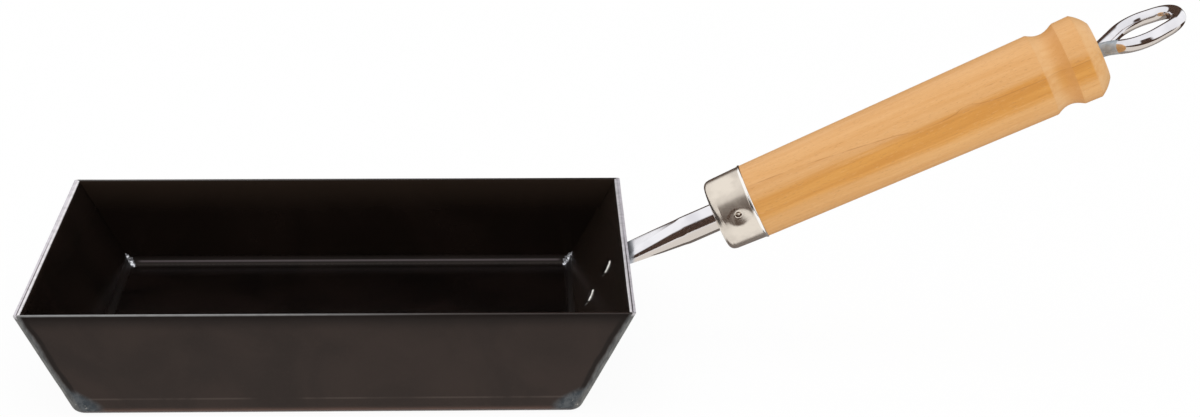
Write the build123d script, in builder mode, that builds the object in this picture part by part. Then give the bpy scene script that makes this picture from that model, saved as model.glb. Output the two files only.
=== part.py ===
from build123d import *
from math import atan, cos, radians, sin, tan
import os

os.makedirs("parts", exist_ok=True)

# Rolled omelette pan: a folded iron body with flared ends, and a riveted handle.
# The origin is the middle of the underside, the handle points to +X, and sizes are in mm.

# Pan body, folded from one sheet
rim_length = 190.0        # outside, from end to end
floor_length = 154.0      # outside, where the end walls would meet the table
pan_width = 130.0         # outside, across the upright walls
pan_depth = 33.0          # outside, table to rim
sheet = 1.6
bend_radius = 4.0         # inside of each fold

# Corner welds, ground flush outside
weld_leg = 1.1            # how deep the weld reaches into the sheet
corner_round = 0.5        # where the grinder broke the corner
bead_leg = 2.4            # the bead left inside each lower corner
bead_fill = 1.6           # how much the bead eases the fold there

# Line of the handle
handle_angle = 24.8       # degrees above the table
handle_drop = 6.2         # from the rim, down the end wall

# Shank, a tube flattened towards the pan
tube_diameter = 9.5
tube_wall = 1.2
pinch_gap = 0.1           # left between the flattened walls
strip_width = 13.0
strip_bend_radius = 5.0   # middle of the strip, where it turns down the wall
strip_run = 4.0           # flat beyond the bend, before it opens into the tube
opening_run = 24.0        # from flat strip to round tube
tube_lead = 6.5           # round tube in front of the ferrule
tube_tail = 28.0          # round tube inside the ferrule and grip
edge_share = 0.49         # corner radius of the flattened tube, of its height

# Rivets through strip and wall
rivet_diameter = 4.0
rivet_inset = 5.6         # from the bend to the upper rivet
rivet_pitch = 11.5
inner_head_diameter = 6.4
inner_head_height = 0.8
outer_head_diameter = 7.4
outer_head_height = 1.5

# Ferrule, a drawn cap crimped at two sides
ferrule_front_diameter = 24.0
ferrule_back_diameter = 25.3
ferrule_length = 12.4
ferrule_sheet = 0.7
ferrule_shoulder = 2.2    # outside radius of its front edge
ferrule_clearance = 0.2   # round the tube
crimp_ball = 16.0         # radius of the punch
crimp_depth = 0.7
crimp_place = 5.7         # from the ferrule's front
crimp_turn = 8.0          # degrees, the crimps' turn round the handle
pip_diameter = 2.0        # centre mark in each crimp
pip_depth = 0.4

# Wooden grip, turned
grip_length = 121.7       # from the ferrule's back edge to the butt
grip_diameter = 28.2      # at the cove
cove_width = 8.9
cove_depth = 1.5
cap_length = 10.8
cap_growth = 0.6          # how much wider the cap is than the grip
butt_round = 4.6
bore_clearance = 0.3      # round the tube and the rod

# Hanging eye, one rod with its stem through the grip
rod_diameter = 4.7
eye_length = 30.2         # outside, from the butt
eye_width = 25.7          # outside
eye_shift = 2.2           # from the stem's line to the loop's middle
neck_length = 2.2         # straight rod before the loop opens
end_offset = 1.0          # from the stem's line to where the loop's end comes back
widest_share = 0.45       # place of the loop's sides, of its length
far_width_share = 0.67    # the loop's width at its far end, of its own width
side_bulge_share = 1.14   # what the rounding takes off the sides, put back
neck_radius_share = 0.52  # radii, of half the loop's width
side_radius_share = 0.99
far_radius_share = 0.78

# Threaded insert in the tube's inner end
insert_length = 10.0
insert_flange = 0.8

overrun = 2.0             # how far a cut runs past its piece

# Sizes that follow
lean = atan((rim_length - floor_length) / 2 / pan_depth)
strip_thickness = 2 * tube_wall + pinch_gap
strip_length = rivet_inset + rivet_pitch + strip_width / 2
tube_bore = tube_diameter - 2 * tube_wall

# Places along the handle, from the bend
tube_start = strip_run + opening_run
ferrule_front = tube_start + tube_lead
ferrule_back = ferrule_front + ferrule_length
tube_end = ferrule_front + tube_tail
butt = ferrule_back + grip_length

# Directions and planes: down the end wall, and along the handle
rim_edge = Vector(rim_length / 2, 0, pan_depth)
wall_down = Vector(-sin(lean), 0, -cos(lean))
wall_out = Vector(cos(lean), 0, -sin(lean))
wall_face = Plane(origin=rim_edge, x_dir=wall_down, z_dir=wall_out)
bend_point = rim_edge + wall_down * handle_drop + wall_out * (strip_thickness / 2)
handle_way = Vector(cos(radians(handle_angle)), 0, sin(radians(handle_angle)))
handle_up = Vector(-sin(radians(handle_angle)), 0, cos(radians(handle_angle)))
handle_axis = Axis(bend_point, handle_way)
handle_side = Plane(origin=bend_point, x_dir=handle_way, z_dir=(0, -1, 0))
handle_top = Plane(origin=bend_point, x_dir=handle_way, z_dir=handle_up)


def across(distance):
    # plane square to the handle, with its x along +Y and its y upwards
    return Plane(origin=bend_point + handle_way * distance, x_dir=(0, 1, 0), z_dir=handle_way)


def bent_box(low, high, end_inset, side_inset, radius):
    # flared ends, upright sides and rounded folds, set in from the pan's outside
    bottom = floor_length + 2 * (low * tan(lean) - end_inset / cos(lean))
    top = floor_length + 2 * (high * tan(lean) - end_inset / cos(lean))
    width = pan_width - 2 * side_inset
    with BuildPart() as box:
        with BuildSketch(Plane.XZ.offset(-width / 2)):
            with BuildLine():
                Polyline((-bottom / 2, low), (bottom / 2, low), (top / 2, high), (-top / 2, high), close=True)
            make_face()
        extrude(amount=width)
        fillet(box.edges().group_by(Axis.Z)[0], radius)
    return box.part


# Pan body
with BuildPart() as outside:
    add(bent_box(0, pan_depth, 0, 0, bend_radius + sheet))
    rising = outside.edges().filter_by(GeomType.LINE).filter_by(Plane.XY, reverse=True)
    fillet(rising, corner_round)

cavity_top = pan_depth + overrun
cavity = bent_box(sheet, cavity_top, sheet, sheet, bend_radius)

with BuildPart() as weld_runs:
    add(outside.part)
    add(cavity, mode=Mode.SUBTRACT)
    add(bent_box(0, pan_depth, weld_leg, 0, bend_radius + sheet), mode=Mode.SUBTRACT)
    add(bent_box(0, pan_depth, 0, weld_leg, bend_radius + sheet), mode=Mode.SUBTRACT)

with BuildPart() as weld_beads:
    add(cavity)
    add(bent_box(sheet, cavity_top, sheet, sheet, bend_radius + bead_fill), mode=Mode.SUBTRACT)
    add(bent_box(sheet, cavity_top, sheet + bead_leg, sheet, bend_radius), mode=Mode.SUBTRACT)
    add(bent_box(sheet, cavity_top, sheet, sheet + bead_leg, bend_radius), mode=Mode.SUBTRACT)

upper_rivet_place = handle_drop + rivet_inset
lower_rivet_place = upper_rivet_place + rivet_pitch

with BuildPart() as pan_body:
    add(outside.part)
    add(cavity, mode=Mode.SUBTRACT)
    add(weld_runs.part, mode=Mode.SUBTRACT)
    with BuildSketch(wall_face.offset(-sheet - overrun)):
        with Locations((upper_rivet_place, 0), (lower_rivet_place, 0)):
            Circle(rivet_diameter / 2)
    extrude(amount=sheet + 2 * overrun, mode=Mode.SUBTRACT)
pan_body.part.label = "pan_body"
export_step(pan_body.part, "parts/pan_body.step")


# Corner welds, each a ground run outside and a small bead in the fold inside
def at_corner(piece, end, side):
    return piece.solids().filter_by(lambda solid: solid.center().X * end > 0 and solid.center().Y * side > 0)


for end_name, end in (("left", -1), ("right", 1)):
    for side_name, side in (("front", -1), ("back", 1)):
        with BuildPart() as corner_weld:
            add(at_corner(weld_runs.part, end, side))
            add(at_corner(weld_beads.part, end, side))
        corner_weld.part.label = f"weld_{side_name}_{end_name}"
        export_step(corner_weld.part, f"parts/{corner_weld.part.label}.step")


# Shank: strip down the wall, flattened run, round tube
def flattened(width, height):
    RectangleRounded(width, height, min(width, height) * edge_share)


with BuildPart() as handle_shank:
    with BuildLine(handle_side) as strip_line:
        end_x = -strip_length * sin(lean + radians(handle_angle))
        end_y = -strip_length * cos(lean + radians(handle_angle))
        FilletPolyline((strip_run, 0), (0, 0), (end_x, end_y), radius=strip_bend_radius)
    with BuildSketch(across(strip_run)):
        flattened(strip_width, strip_thickness)
    sweep(path=strip_line.line)
    with BuildSketch(wall_face):
        with Locations((handle_drop + strip_length, 0)):
            Rectangle(strip_width, strip_width + overrun)
        with Locations((lower_rivet_place, 0)):
            Circle(strip_width / 2, mode=Mode.SUBTRACT)
    extrude(amount=strip_thickness + overrun, both=True, mode=Mode.SUBTRACT)
    with BuildSketch(wall_face):
        with Locations((upper_rivet_place, 0), (lower_rivet_place, 0)):
            Circle(rivet_diameter / 2)
    extrude(amount=strip_thickness + overrun, both=True, mode=Mode.SUBTRACT)
    with BuildSketch(across(strip_run)):
        flattened(strip_width, strip_thickness)
    with BuildSketch(across(tube_start)):
        flattened(tube_diameter, tube_diameter)
    loft()
    with BuildSketch(across(tube_start)):
        Circle(tube_diameter / 2)
    extrude(amount=tube_end - tube_start)
    with BuildSketch(across(strip_run)):
        flattened(strip_width - 2 * tube_wall, pinch_gap)
    with BuildSketch(across(tube_start)):
        flattened(tube_bore, tube_bore)
    loft(mode=Mode.SUBTRACT)
    with BuildSketch(across(tube_start)):
        Circle(tube_bore / 2)
    extrude(amount=tube_end - tube_start, mode=Mode.SUBTRACT)
handle_shank.part.label = "handle_shank"
export_step(handle_shank.part, "parts/handle_shank.step")


# Rivets, with a low domed head inside the pan and a higher one outside
def rivet(place):
    foot = rim_edge + wall_down * place
    with BuildPart() as piece:
        with BuildSketch(Plane(origin=foot, x_dir=wall_out, z_dir=(0, -1, 0))):
            with BuildLine():
                inner_edge = (-sheet, inner_head_diameter / 2)
                outer_edge = (strip_thickness, outer_head_diameter / 2)
                inner_top = (-sheet - inner_head_height, 0)
                outer_top = (strip_thickness + outer_head_height, 0)
                inner_foot = (-sheet, rivet_diameter / 2)
                outer_foot = (strip_thickness, rivet_diameter / 2)
                TangentArc(inner_top, inner_edge, tangent=(0, 1))
                Polyline(inner_edge, inner_foot, outer_foot, outer_edge)
                TangentArc(outer_top, outer_edge, tangent=(0, 1))
                Line(outer_top, inner_top)
            make_face()
        revolve(axis=Axis(foot, wall_out))
    return piece.part


for rivet_name, place in (("rivet_upper", upper_rivet_place), ("rivet_lower", lower_rivet_place)):
    with BuildPart() as wall_rivet:
        add(rivet(place))
    wall_rivet.part.label = rivet_name
    export_step(wall_rivet.part, f"parts/{rivet_name}.step")


# Ferrule
front_radius = ferrule_front_diameter / 2
back_radius = ferrule_back_diameter / 2
tube_hole = tube_diameter / 2 + ferrule_clearance
crimp_radius = front_radius + (back_radius - front_radius) * crimp_place / ferrule_length


def crimp_points(ball, depth):
    # centres of the punch at its depth, on both sides of the handle
    plane = across(ferrule_front + crimp_place)
    reach = crimp_radius + ball - depth
    near = plane.from_local_coords((-reach * cos(radians(crimp_turn)), reach * sin(radians(crimp_turn)), 0))
    far = plane.from_local_coords((reach * cos(radians(crimp_turn)), -reach * sin(radians(crimp_turn)), 0))
    return near, far


with BuildPart() as ferrule_outside:
    with BuildSketch(handle_side):
        with BuildLine():
            outer_wall = FilletPolyline((ferrule_front, 0), (ferrule_front, front_radius),
                                        (ferrule_back, back_radius), radius=ferrule_shoulder)
            Polyline(outer_wall @ 1, (ferrule_back, 0), outer_wall @ 0)
        make_face()
    revolve(axis=handle_axis)

with BuildPart() as ferrule_inside:
    with BuildSketch(handle_side):
        with BuildLine():
            inner_wall = FilletPolyline((ferrule_front + ferrule_sheet, 0),
                                        (ferrule_front + ferrule_sheet, front_radius - ferrule_sheet),
                                        (ferrule_back, back_radius - ferrule_sheet),
                                        radius=ferrule_shoulder - ferrule_sheet)
            Polyline(inner_wall @ 1, (ferrule_back, 0), inner_wall @ 0)
        make_face()
    revolve(axis=handle_axis)
    with Locations(crimp_points(crimp_ball, crimp_depth)):
        Sphere(crimp_ball + ferrule_sheet, mode=Mode.SUBTRACT)

with BuildPart() as ferrule:
    add(ferrule_outside.part)
    add(ferrule_inside.part, mode=Mode.SUBTRACT)
    with Locations(crimp_points(crimp_ball, crimp_depth)):
        Sphere(crimp_ball, mode=Mode.SUBTRACT)
    with Locations(crimp_points(pip_diameter / 2, crimp_depth + pip_depth)):
        Sphere(pip_diameter / 2, mode=Mode.SUBTRACT)
    with BuildSketch(across(ferrule_front - overrun)):
        Circle(tube_hole)
    extrude(amount=ferrule_sheet + 2 * overrun, mode=Mode.SUBTRACT)
ferrule.part.label = "ferrule"
export_step(ferrule.part, "parts/ferrule.step")


# Wooden grip: its front fills the ferrule, crimps included
cap_start = butt - cap_length
cove_start = cap_start - cove_width
grip_radius = grip_diameter / 2
cap_radius = grip_radius + cap_growth / 2

with BuildPart() as wooden_grip:
    with BuildSketch(handle_side):
        with BuildLine():
            cove_middle = ((cove_start + cap_start) / 2, grip_radius - cove_depth)
            cap = FilletPolyline((cap_start, grip_radius), (butt, cap_radius), (butt, 0), radius=butt_round)
            Polyline((ferrule_back, 0), (ferrule_back, back_radius), (cove_start, grip_radius))
            ThreePointArc((cove_start, grip_radius), cove_middle, (cap_start, grip_radius))
            Line(cap @ 1, (ferrule_back, 0))
        make_face()
    revolve(axis=handle_axis)
    add(ferrule_inside.part)
    with BuildSketch(across(ferrule_front)):
        Circle(tube_diameter / 2 + bore_clearance)
    extrude(amount=tube_tail + insert_flange + bore_clearance, mode=Mode.SUBTRACT)
    with BuildSketch(across(ferrule_front)):
        Circle(rod_diameter / 2 + bore_clearance)
    extrude(amount=butt - ferrule_front + overrun, mode=Mode.SUBTRACT)
wooden_grip.part.label = "wooden_grip"
export_step(wooden_grip.part, "parts/wooden_grip.step")


# Threaded insert, whose flange bears on the tube's end
with BuildPart() as shank_insert:
    with BuildSketch(across(tube_end - insert_length)):
        Circle(tube_bore / 2)
    extrude(amount=insert_length)
    with BuildSketch(across(tube_end)):
        Circle(tube_diameter / 2)
    extrude(amount=insert_flange)
    with BuildSketch(across(tube_end - insert_length)):
        Circle(rod_diameter / 2)
    extrude(amount=insert_length + insert_flange, mode=Mode.SUBTRACT)
shank_insert.part.label = "shank_insert"
export_step(shank_insert.part, "parts/shank_insert.step")


# Hanging eye: the loop runs out from the stem on the near side and comes back on the far side
loop_length = eye_length - rod_diameter / 2
half_width = (eye_width - rod_diameter) / 2
widest = butt + loop_length * widest_share
far_end = butt + loop_length
stem_start = tube_end - insert_length


def loop_half(side, ending, radius_shares):
    # from the far end along one side, to the points that end it at the butt
    reach = half_width * side
    points = [(far_end, eye_shift), (far_end, eye_shift + reach * far_width_share),
              (widest, eye_shift + reach * side_bulge_share)]
    with BuildPart() as half:
        with BuildLine(handle_top) as line:
            FilletPolyline(*points, *ending, radius=[half_width * share for share in radius_shares])
        with BuildSketch(Plane(origin=line.line @ 0, x_dir=handle_up, z_dir=line.line % 0)):
            Circle(rod_diameter / 2)
        sweep(path=line.line)
    return half.part


near_ending = ((butt + neck_length, 0), (butt - neck_length, 0))
far_ending = ((butt, end_offset),)

with BuildPart() as hanging_eye:
    add(loop_half(-1, near_ending, (far_radius_share, side_radius_share, neck_radius_share)))
    add(loop_half(1, far_ending, (far_radius_share, side_radius_share)))
    with BuildSketch(across(butt - eye_width)):
        Circle(eye_width)
    extrude(amount=eye_width, mode=Mode.SUBTRACT)
    with BuildSketch(across(stem_start)):
        Circle(rod_diameter / 2)
    extrude(amount=butt - stem_start)
hanging_eye.part.label = "hanging_eye"
export_step(hanging_eye.part, "parts/hanging_eye.step")
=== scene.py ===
from math import acos, atan, cos, pi, radians, sin, sqrt, tan

import bmesh
import bpy
from mathutils import Matrix, Vector, noise


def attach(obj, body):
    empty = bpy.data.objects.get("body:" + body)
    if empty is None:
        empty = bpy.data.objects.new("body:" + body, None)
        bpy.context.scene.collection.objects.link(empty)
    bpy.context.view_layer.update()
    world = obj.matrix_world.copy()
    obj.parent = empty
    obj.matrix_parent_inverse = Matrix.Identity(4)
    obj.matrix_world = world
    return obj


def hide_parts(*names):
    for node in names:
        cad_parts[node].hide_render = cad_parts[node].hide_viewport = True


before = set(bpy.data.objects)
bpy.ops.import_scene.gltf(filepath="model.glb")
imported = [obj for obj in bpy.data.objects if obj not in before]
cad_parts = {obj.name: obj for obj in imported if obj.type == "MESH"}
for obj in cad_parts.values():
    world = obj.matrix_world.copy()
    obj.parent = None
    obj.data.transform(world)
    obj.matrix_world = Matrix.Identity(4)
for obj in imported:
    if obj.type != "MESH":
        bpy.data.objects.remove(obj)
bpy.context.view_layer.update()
print("frame loaded:", len(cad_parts), "nodes")

# All sizes below are in mm, the scene is in metres
mm = 0.001
side, upward = Vector((0, 1, 0)), Vector((0, 0, 1))


def fromScreen(colour):
    # a colour as it reads on a screen, 0 to 255, turned into light
    light = []
    for value in colour:
        share = value / 255
        light.append(share / 12.92 if share <= 0.04045 else ((share + 0.055) / 1.055) ** 2.4)
    return (*light, 1.0)


def clampShare(value):
    return max(0.0, min(1.0, value))


def ease(low, high, value):
    share = clampShare((value - low) / (high - low))
    return share * share * (3 - 2 * share)


def between(first, last, share):
    return first + (last - first) * share


def addPiece(name, shape, finishes, nodes, sharpAngle=32):
    # a shape is its points, its faces and, with two finishes, the first point of the second one
    verts, faces, *secondStart = shape
    mesh = bpy.data.meshes.new(name)
    mesh.from_pydata([Vector(v) * mm for v in verts], [], faces)
    work = bmesh.new()
    work.from_mesh(mesh)
    bmesh.ops.remove_doubles(work, verts=work.verts, dist=2e-6)
    bmesh.ops.dissolve_degenerate(work, edges=work.edges, dist=1e-7)
    bmesh.ops.recalc_face_normals(work, faces=work.faces)
    work.to_mesh(mesh)
    work.free()
    mesh.shade_smooth()
    mesh.set_sharp_from_angle(angle=radians(sharpAngle))
    for finish in finishes:
        mesh.materials.append(finish)
    if secondStart:
        for face in mesh.polygons:
            face.material_index = int(min(face.vertices) >= secondStart[0])
    piece = bpy.data.objects.new(name, mesh)
    bpy.context.scene.collection.objects.link(piece)
    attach(piece, "root")
    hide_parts(*nodes)
    return piece


def skinOver(rings, closed=False, start=0):
    # quads over rings that follow each other, with flat ends or as a closed chain
    size, faces = len(rings[0]), []
    for k in range(len(rings) if closed else len(rings) - 1):
        here, there = start + k * size, start + (k + 1) % len(rings) * size
        for i in range(size):
            j = (i + 1) % size
            faces.append((here + i, here + j, there + j, there + i))
    if not closed:
        for first in (start, start + (len(rings) - 1) * size):
            faces.append(tuple(first + i for i in range(size)))
    return [point for ring in rings for point in ring], faces


def addGrid(verts, faces, rows):
    # quads over rows of points
    start, size = len(verts), len(rows[0])
    for row in rows:
        verts.extend(row)
    for k in range(len(rows) - 1):
        for i in range(size - 1):
            a = start + k * size + i
            faces.append((a, a + 1, a + size + 1, a + size))


def roundTurns(count):
    return [2 * pi * i / count for i in range(count)]


def arcPoints(centre, radius, fromTurn, toTurn, steps):
    # points on an arc, turns in degrees
    points = []
    for k in range(steps + 1):
        turn = radians(fromTurn + (toTurn - fromTurn) * k / steps)
        points.append((centre[0] + radius * cos(turn), centre[1] + radius * sin(turn)))
    return points


def roundedLine(points, radii, step):
    # a polyline in a plane with its inner corners rounded, as even small steps
    corners = [Vector(p) for p in points]
    line = [corners[0]]
    for corner, radius, before, after in zip(corners[1:-1], radii, corners, corners[2:]):
        toBefore, toAfter = (before - corner).normalized(), (after - corner).normalized()
        half = acos(max(-1, min(1, toBefore.dot(toAfter)))) / 2
        reach = radius / tan(half)
        centre = corner + (toBefore + toAfter).normalized() * (radius / sin(half))
        first, last = corner + toBefore * reach, corner + toAfter * reach
        line.append(first)
        sweep = pi - 2 * half
        count = max(3, int(radius * sweep / step))
        a, b = first - centre, last - centre
        for k in range(1, count):
            share = k / count
            spoke = (a * sin((1 - share) * sweep) + b * sin(share * sweep)) / sin(sweep)
            line.append(centre + spoke)
        line.append(last)
    line.append(corners[-1])
    dense = [line[0]]
    for here, there in zip(line, line[1:]):
        count = max(1, int((there - here).length / step))
        dense += [here.lerp(there, k / count) for k in range(1, count + 1)]
    return dense


def wayAlong(line, k):
    # direction of a line at one of its points
    return (line[min(k + 1, len(line) - 1)] - line[max(k - 1, 0)]).normalized()


class Board:
    # one material and the nodes on it; a colour of three numbers is meant as a screen shows it
    def __init__(self, name, turn=(0, 0, 0), shift=(0, 0, 0)):
        self.material = bpy.data.materials.new(name)
        self.material.use_nodes = True
        self.tree = self.material.node_tree
        self.tree.nodes.clear()
        self.shader = self.add("ShaderNodeBsdfPrincipled")
        self.surface = self.add("ShaderNodeOutputMaterial").inputs["Surface"]
        self.put(self.surface, self.shader.outputs[0])
        self.where = self.place(turn, shift)

    def put(self, socket, value):
        if isinstance(value, bpy.types.NodeSocket):
            self.tree.links.new(value, socket)
        elif socket.type == "RGBA" and len(value) == 3:
            socket.default_value = fromScreen(value)
        else:
            socket.default_value = value

    def add(self, kind, **settings):
        node = self.tree.nodes.new(kind)
        for name, value in settings.items():
            setattr(node, name, value)
        return node

    def fill(self, node, **sockets):
        # gives a node's inputs their values, by name
        for name, value in sockets.items():
            self.put(node.inputs[name.replace("_", " ")], value)
        return node

    def maths(self, operation, *values, clamp=False):
        node = self.add("ShaderNodeMath", operation=operation, use_clamp=clamp)
        for socket, value in zip(node.inputs, values):
            self.put(socket, value)
        return node.outputs[0]

    def plus(self, first, second):
        return self.maths("ADD", first, second)

    def minus(self, first, second):
        return self.maths("SUBTRACT", first, second)

    def times(self, first, *others):
        for other in others:
            first = self.maths("MULTIPLY", first, other)
        return first

    def larger(self, first, second):
        return self.maths("MAXIMUM", first, second)

    def apart(self, first, second):
        return self.maths("ABSOLUTE", self.minus(first, second))

    def swing(self, value, size):
        # a noise between 0 and 1 made to swing about zero
        return self.times(self.minus(value, 0.5), size)

    def span(self, value, low, high, toLow=0.0, toHigh=1.0):
        # eased change from toLow to toHigh as the value goes from low to high
        node = self.add("ShaderNodeMapRange", interpolation_type="SMOOTHSTEP")
        self.fill(node, Value=value, From_Min=low, From_Max=high, To_Min=toLow, To_Max=toHigh)
        return node.outputs[0]

    def blend(self, factor, first, second):
        node = self.add("ShaderNodeMix", data_type="RGBA")
        for place, value in ((0, factor), (6, first), (7, second)):
            self.put(node.inputs[place], value)
        return node.outputs[2]

    def mapped(self, where, scale, turn=(0, 0, 0), shift=(0, 0, 0)):
        node = self.add("ShaderNodeMapping")
        return self.fill(node, Vector=where, Scale=scale, Rotation=turn, Location=shift).outputs[0]

    def place(self, turn=(0, 0, 0), shift=(0, 0, 0)):
        # object coordinates, in mm
        where = self.add("ShaderNodeTexCoord").outputs["Object"]
        return self.mapped(where, (1 / mm, 1 / mm, 1 / mm), turn, shift)

    def split(self, where):
        return self.fill(self.add("ShaderNodeSeparateXYZ"), Vector=where).outputs

    def facingUp(self):
        return self.split(self.add("ShaderNodeNewGeometry").outputs["Normal"])[2]

    def measure(self, operation, given):
        # DISTANCE from a spot or DOT_PRODUCT with a direction, in mm
        node = self.add("ShaderNodeVectorMath", operation=operation)
        self.put(node.inputs[0], self.place())
        self.put(node.inputs[1], given)
        return node.outputs["Value"]

    def cloud(self, scale, detail=3.0, rough=0.5, warp=0.0, shift=(0, 0, 0)):
        # noise; three scales draw it out
        where = self.where
        if isinstance(scale, tuple):
            where, scale = self.mapped(where, scale, shift=shift), 1.0
        node = self.add("ShaderNodeTexNoise")
        self.fill(node, Vector=where, Scale=scale, Detail=detail, Roughness=rough, Distortion=warp)
        return node.outputs[0]

    def mottle(self, value, spread, colours):
        return self.blend(self.span(value, *spread), *colours)

    def bump(self, height, depth, strength):
        # depth in mm of a height from 0 to 1
        node = self.add("ShaderNodeBump")
        self.fill(node, Strength=strength, Distance=depth * mm, Height=height)
        self.put(self.shader.inputs["Normal"], node.outputs[0])

    def finish(self, **sockets):
        self.fill(self.shader, **sockets)
        return self.material


def mottledMetal(name, look):
    # colour, shine and dents that follow a noise
    board = Board(name)
    noiseValue = board.cloud(*look["noise"])
    board.bump(board.cloud(*look["dents"]) if "dents" in look else noiseValue, *look["bump"])
    return board.finish(Base_Color=board.mottle(noiseValue, look["spread"], look["colours"]),
                        Metallic=look["metallic"], Roughness=board.span(noiseValue, *look["rough"]))


# Pan body: sheet folded up on all sides, its four corners welded
pan = {
    "rimLength": 190.0, "floorLength": 154.0, "width": 130.0, "depth": 33.0, "sheet": 1.6,
    "bend": 5.6, "sideBend": 3.2, "innerBend": 4.0, "rimRound": 0.22, "weldLeg": 1.1, "cornerRound": 0.95,
    # how the sheet wanders: how far, in what lumps, and how near to corners and folds
    "waviness": 0.10, "lumps": (38, 38, 30), "lumpStart": 3.1, "smallLumps": 13, "smallShare": 0.4,
    "lumpGain": 1.4, "calmCorner": (0, 14), "calmFold": (4, 14), "longWallFrom": 60,
    # how fine the mesh is, with extra columns beside the corners
    "columnsLong": 72, "columnsShort": 52, "edgeLong": [0.995, 0.985], "edgeShort": [0.993, 0.98],
    "foldSteps": 12, "wallHeights": [8.5, 12, 16, 20, 24, 28, 31], "rimTurns": (30, 60, 90),
}
lean = atan((pan["rimLength"] - pan["floorLength"]) / 2 / pan["depth"])


def foldReach(height, edge, radius, slant, bottom):
    # how far out a folded wall stands at a height; edge is where its plane meets the table
    middle = edge + bottom * tan(slant) + radius * (tan(slant) - 1 / cos(slant))
    rise = height - bottom
    if rise < radius * (1 - sin(slant)):
        return middle + sqrt(max(0.0, radius ** 2 - (radius - rise) ** 2))
    return edge + height * tan(slant)


def panReach(height, inset=0.0, inner=False):
    # half length and half width of the pan at a height, inset from its outer or inner face
    bottom, endBend, sideBend = 0.0, pan["bend"], pan["sideBend"]
    if inner:
        bottom, endBend, sideBend = pan["sheet"], pan["innerBend"], pan["innerBend"]
        inset += pan["sheet"]
    reachX = foldReach(height, pan["floorLength"] / 2 - inset / cos(lean), endBend, lean, bottom)
    return reachX, foldReach(height, pan["width"] / 2 - inset, sideBend, 0.0, bottom)


def wallLevels(rimTurns, inner=False):
    # heights and insets up one face of a wall and over its half of the rim
    bottom, radius = (pan["sheet"], pan["innerBend"]) if inner else (0.0, pan["bend"])
    turns = [radians(90 * k / pan["foldSteps"]) for k in range(pan["foldSteps"] + 1)]
    heights = [bottom + radius * (1 - cos(turn)) for turn in turns]
    heights += pan["wallHeights"] + [pan["depth"] - pan["rimRound"]]
    levels = [(height, 0.0) for height in heights]
    for turn in rimTurns:
        height = pan["depth"] - pan["rimRound"] * (1 - sin(radians(turn)))
        inset = pan["rimRound"] * (1 - cos(radians(turn)))
        levels.append((height, -inset if inner else inset))
    return levels


def sheetWobble(x, y, z):
    # inward wander of the sheet, none at the corners
    onLongWall = abs(y) > pan["longWallFrom"]
    toCorner = pan["rimLength"] / 2 - abs(x) if onLongWall else pan["width"] / 2 - abs(y)
    wideX, wideY, tall = pan["lumps"]
    lumps = noise.noise(Vector((x / wideX, y / wideY, z / tall + pan["lumpStart"])))
    lumps += pan["smallShare"] * noise.noise(Vector((x, y, z)) / pan["smallLumps"])
    lumps = 0.5 + 0.5 * max(-1, min(1, lumps * pan["lumpGain"]))
    return pan["waviness"] * lumps * ease(*pan["calmCorner"], toCorner) * ease(*pan["calmFold"], z)


def wallPoint(inner, level, share, axis, sign):
    # a point of a wall, for a share of its width; the inset moves it square to the wall
    height, inset = level
    full = panReach(height, inset, inner)
    reach = full if inner else panReach(height, pan["weldLeg"])
    point = Vector((0, 0, height))
    point[axis], point[1 - axis] = full[axis], share * reach[1 - axis]
    point[axis] = sign * (point[axis] - sheetWobble(point.x, point.y, height))
    return point


def evenly(count, edgeSteps):
    # shares from -1 to 1, even in the middle, with small steps near the ends
    middle = [-1 + 2 * k / count for k in range(1, count)]
    return sorted([-1, 1] + middle + edgeSteps + [-s for s in edgeSteps])


def addFloor(verts, faces, longShares, shortShares):
    # under side, upper side, and the strips from the under side out to the folds
    weldReach, fullReach = panReach(0.0, pan["weldLeg"]), panReach(0.0)
    for height, reach in ((0.0, weldReach), (pan["sheet"], panReach(pan["sheet"], inner=True))):
        addGrid(verts, faces, [[Vector((px * reach[0], py * reach[1], height)) for px in longShares]
                               for py in shortShares])
    for sign in (-1, 1):
        addGrid(verts, faces, [[Vector((share * weldReach[0], sign * edge, 0)) for share in longShares]
                               for edge in (weldReach[1], fullReach[1])])
        addGrid(verts, faces, [[Vector((sign * edge, share * weldReach[1], 0)) for share in shortShares]
                               for edge in (weldReach[0], fullReach[0])])


def addNotch(verts, faces, levels, signX, signY):
    # the notch that a corner weld fills, and the sheet's top beside it
    rows = []
    for height, inset in levels:
        (fullX, fullY), (weldX, weldY) = panReach(height, inset), panReach(height, pan["weldLeg"])
        rows.append([Vector((signX * px, signY * py, height))
                     for px, py in ((weldX, fullY), (weldX, weldY), (fullX, weldY))])
    addGrid(verts, faces, rows)
    innerX, innerY = panReach(pan["depth"], -pan["rimRound"], inner=True)
    start = len(verts)
    verts.extend([*rows[-1], Vector((signX * innerX, signY * innerY, pan["depth"]))])
    faces.extend([(start, start + 1, start + 3), (start + 1, start + 2, start + 3)])


def buildPanSheet():
    longShares = evenly(pan["columnsLong"], pan["edgeLong"])
    shortShares = evenly(pan["columnsShort"], pan["edgeShort"])
    outerLevels, innerLevels = wallLevels(pan["rimTurns"]), wallLevels(pan["rimTurns"], inner=True)
    # one column of a wall: up its outer face, over the rim and down its inner face
    column = [(False, level) for level in outerLevels] + [(True, level) for level in innerLevels[::-1]]
    verts, faces = [], []
    for axis, shares in ((1, longShares), (0, shortShares)):
        for sign in (-1, 1):
            addGrid(verts, faces, [[wallPoint(inner, level, share, axis, sign) for share in shares]
                                   for inner, level in column])
    addFloor(verts, faces, longShares, shortShares)
    for signX in (-1, 1):
        for signY in (-1, 1):
            addNotch(verts, faces, outerLevels, signX, signY)
    return verts, faces


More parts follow.
